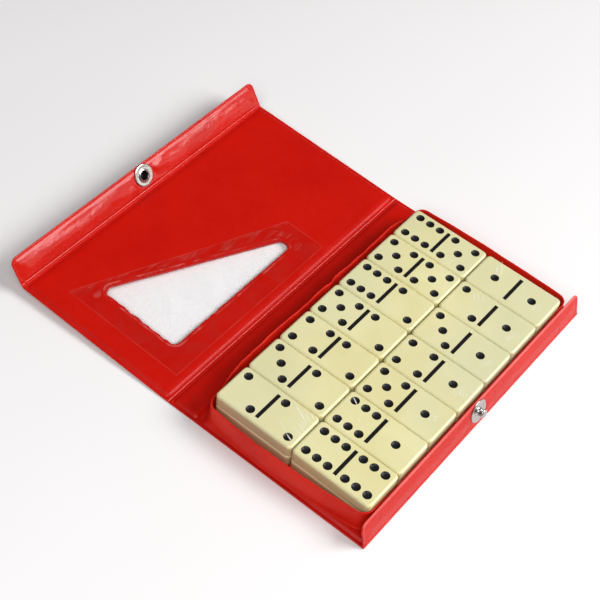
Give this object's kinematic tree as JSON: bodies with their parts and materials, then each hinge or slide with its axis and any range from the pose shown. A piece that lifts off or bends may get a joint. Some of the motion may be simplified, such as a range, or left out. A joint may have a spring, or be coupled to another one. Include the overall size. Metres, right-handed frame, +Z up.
{
  "type": "domino set in folding case",
  "caption": "Set of double-six dominoes in an open folding vinyl wallet, with a tray, a windowed lid, a front strip and a flap that closes with a press stud.",
  "frame": {"origin": "centre of the base panel's underside, on the table", "axes": "+X along the spine, +Y from the front strip towards the lid, +Z up"},
  "size_m": [0.158, 0.1937, 0.0161],
  "materials": {
    "outer_vinyl": "glossy red vinyl, heat welded",
    "inner_vinyl": "smooth glossy red vinyl",
    "band_vinyl": "glossy red vinyl",
    "card": "plain grey-brown card, inside the vinyl",
    "foam": "thin padding, inside the vinyl",
    "clear_film": "clear flexible film",
    "ivory_plastic": "polished ivory plastic with black paint in the pips and bars",
    "snap_metal": "bright plated metal"
  },
  "bodies": {
    "base": {"base_outer_skin": "outer_vinyl", "base_board": "card", "base_inner_skin": "inner_vinyl", "tray_band": "band_vinyl"},
    "spine": {"spine_outer_skin": "outer_vinyl", "spine_board": "card", "spine_inner_skin": "inner_vinyl"},
    "lid": {"lid_outer_skin": "outer_vinyl", "lid_board": "card", "lid_inner_skin": "inner_vinyl", "window_film": "clear_film"},
    "flap": {"flap_outer_skin": "outer_vinyl", "flap_foam": "foam", "flap_inner_skin": "inner_vinyl", "snap_socket": "snap_metal", "snap_cap": "snap_metal"},
    "front_strip": {"strip_outer_skin": "outer_vinyl", "strip_foam": "foam", "strip_inner_skin": "inner_vinyl", "snap_stud": "snap_metal", "snap_eyelet": "snap_metal"},
    "tile_0_0": {"tile_0_0": "ivory_plastic"},
    "tile_5_6": {"tile_5_6": "ivory_plastic"},
    "tile_0_1": {"tile_0_1": "ivory_plastic"},
    "tile_5_5": {"tile_5_5": "ivory_plastic"},
    "tile_0_2": {"tile_0_2": "ivory_plastic"},
    "tile_2_6": {"tile_2_6": "ivory_plastic"},
    "tile_0_3": {"tile_0_3": "ivory_plastic"},
    "tile_2_5": {"tile_2_5": "ivory_plastic"},
    "tile_0_4": {"tile_0_4": "ivory_plastic"},
    "tile_2_4": {"tile_2_4": "ivory_plastic"},
    "tile_0_5": {"tile_0_5": "ivory_plastic"},
    "tile_2_3": {"tile_2_3": "ivory_plastic"},
    "tile_0_6": {"tile_0_6": "ivory_plastic"},
    "tile_2_2": {"tile_2_2": "ivory_plastic"},
    "tile_3_3": {"tile_3_3": "ivory_plastic"},
    "tile_1_1": {"tile_1_1": "ivory_plastic"},
    "tile_3_4": {"tile_3_4": "ivory_plastic"},
    "tile_1_2": {"tile_1_2": "ivory_plastic"},
    "tile_3_5": {"tile_3_5": "ivory_plastic"},
    "tile_1_3": {"tile_1_3": "ivory_plastic"},
    "tile_3_6": {"tile_3_6": "ivory_plastic"},
    "tile_1_4": {"tile_1_4": "ivory_plastic"},
    "tile_4_4": {"tile_4_4": "ivory_plastic"},
    "tile_1_5": {"tile_1_5": "ivory_plastic"},
    "tile_4_5": {"tile_4_5": "ivory_plastic"},
    "tile_1_6": {"tile_1_6": "ivory_plastic"},
    "tile_4_6": {"tile_4_6": "ivory_plastic"},
    "tile_6_6": {"tile_6_6": "ivory_plastic"}
  },
  "joints": [
    {"name": "spine_fold", "type": "hinge", "parent": "base", "child": "spine", "pos_m": [0, 0.04238, 0.0006], "axis": [1, 0, 0], "range_deg": [0, 90]},
    {"name": "lid_fold", "type": "hinge", "parent": "spine", "child": "lid", "pos_m": [0, 0.05777, 0.0006], "axis": [1, 0, 0], "range_deg": [0, 87.5]},
    {"name": "flap_fold", "type": "hinge", "parent": "lid", "child": "flap", "pos_m": [0, 0.14091, 0.00423], "axis": [1, 0, 0], "range_deg": [-56, 19]},
    {"name": "front_strip_fold", "type": "hinge", "parent": "base", "child": "front_strip", "pos_m": [0, -0.04238, 0.0006], "axis": [-1, 0, 0], "range_deg": [-70, 0]},
    {"name": "lift_tile_0_0", "type": "slide", "parent": "base", "child": "tile_0_0", "axis": [0, 0, -1], "range_m": [-0.02, 0]},
    {"name": "lift_tile_5_6", "type": "slide", "parent": "tile_0_0", "child": "tile_5_6", "axis": [0, 0, -1], "range_m": [-0.02, 0]},
    {"name": "lift_tile_0_1", "type": "slide", "parent": "base", "child": "tile_0_1", "axis": [0, 0, -1], "range_m": [-0.02, 0]},
    {"name": "lift_tile_5_5", "type": "slide", "parent": "tile_0_1", "child": "tile_5_5", "axis": [0, 0, -1], "range_m": [-0.02, 0]},
    {"name": "lift_tile_0_2", "type": "slide", "parent": "base", "child": "tile_0_2", "axis": [0, 0, -1], "range_m": [-0.02, 0]},
    {"name": "lift_tile_2_6", "type": "slide", "parent": "tile_0_2", "child": "tile_2_6", "axis": [0, 0, -1], "range_m": [-0.02, 0]},
    {"name": "lift_tile_0_3", "type": "slide", "parent": "base", "child": "tile_0_3", "axis": [0, 0, -1], "range_m": [-0.02, 0]},
    {"name": "lift_tile_2_5", "type": "slide", "parent": "tile_0_3", "child": "tile_2_5", "axis": [0, 0, -1], "range_m": [-0.02, 0]},
    {"name": "lift_tile_0_4", "type": "slide", "parent": "base", "child": "tile_0_4", "axis": [0, 0, -1], "range_m": [-0.02, 0]},
    {"name": "lift_tile_2_4", "type": "slide", "parent": "tile_0_4", "child": "tile_2_4", "axis": [0, 0, -1], "range_m": [-0.02, 0]},
    {"name": "lift_tile_0_5", "type": "slide", "parent": "base", "child": "tile_0_5", "axis": [0, 0, -1], "range_m": [-0.02, 0]},
    {"name": "lift_tile_2_3", "type": "slide", "parent": "tile_0_5", "child": "tile_2_3", "axis": [0, 0, -1], "range_m": [-0.02, 0]},
    {"name": "lift_tile_0_6", "type": "slide", "parent": "base", "child": "tile_0_6", "axis": [0, 0, -1], "range_m": [-0.02, 0]},
    {"name": "lift_tile_2_2", "type": "slide", "parent": "tile_0_6", "child": "tile_2_2", "axis": [0, 0, -1], "range_m": [-0.02, 0]},
    {"name": "lift_tile_3_3", "type": "slide", "parent": "base", "child": "tile_3_3", "axis": [0, 0, -1], "range_m": [-0.02, 0]},
    {"name": "lift_tile_1_1", "type": "slide", "parent": "tile_3_3", "child": "tile_1_1", "axis": [0, 0, -1], "range_m": [-0.02, 0]},
    {"name": "lift_tile_3_4", "type": "slide", "parent": "base", "child": "tile_3_4", "axis": [0, 0, -1], "range_m": [-0.02, 0]},
    {"name": "lift_tile_1_2", "type": "slide", "parent": "tile_3_4", "child": "tile_1_2", "axis": [0, 0, -1], "range_m": [-0.02, 0]},
    {"name": "lift_tile_3_5", "type": "slide", "parent": "base", "child": "tile_3_5", "axis": [0, 0, -1], "range_m": [-0.02, 0]},
    {"name": "lift_tile_1_3", "type": "slide", "parent": "tile_3_5", "child": "tile_1_3", "axis": [0, 0, -1], "range_m": [-0.02, 0]},
    {"name": "lift_tile_3_6", "type": "slide", "parent": "base", "child": "tile_3_6", "axis": [0, 0, -1], "range_m": [-0.02, 0]},
    {"name": "lift_tile_1_4", "type": "slide", "parent": "tile_3_6", "child": "tile_1_4", "axis": [0, 0, -1], "range_m": [-0.02, 0]},
    {"name": "lift_tile_4_4", "type": "slide", "parent": "base", "child": "tile_4_4", "axis": [0, 0, -1], "range_m": [-0.02, 0]},
    {"name": "lift_tile_1_5", "type": "slide", "parent": "tile_4_4", "child": "tile_1_5", "axis": [0, 0, -1], "range_m": [-0.02, 0]},
    {"name": "lift_tile_4_5", "type": "slide", "parent": "base", "child": "tile_4_5", "axis": [0, 0, -1], "range_m": [-0.02, 0]},
    {"name": "lift_tile_1_6", "type": "slide", "parent": "tile_4_5", "child": "tile_1_6", "axis": [0, 0, -1], "range_m": [-0.02, 0]},
    {"name": "lift_tile_4_6", "type": "slide", "parent": "base", "child": "tile_4_6", "axis": [0, 0, -1], "range_m": [-0.02, 0]},
    {"name": "lift_tile_6_6", "type": "slide", "parent": "tile_4_6", "child": "tile_6_6", "axis": [0, 0, -1], "range_m": [-0.02, 0]}
  ]
}
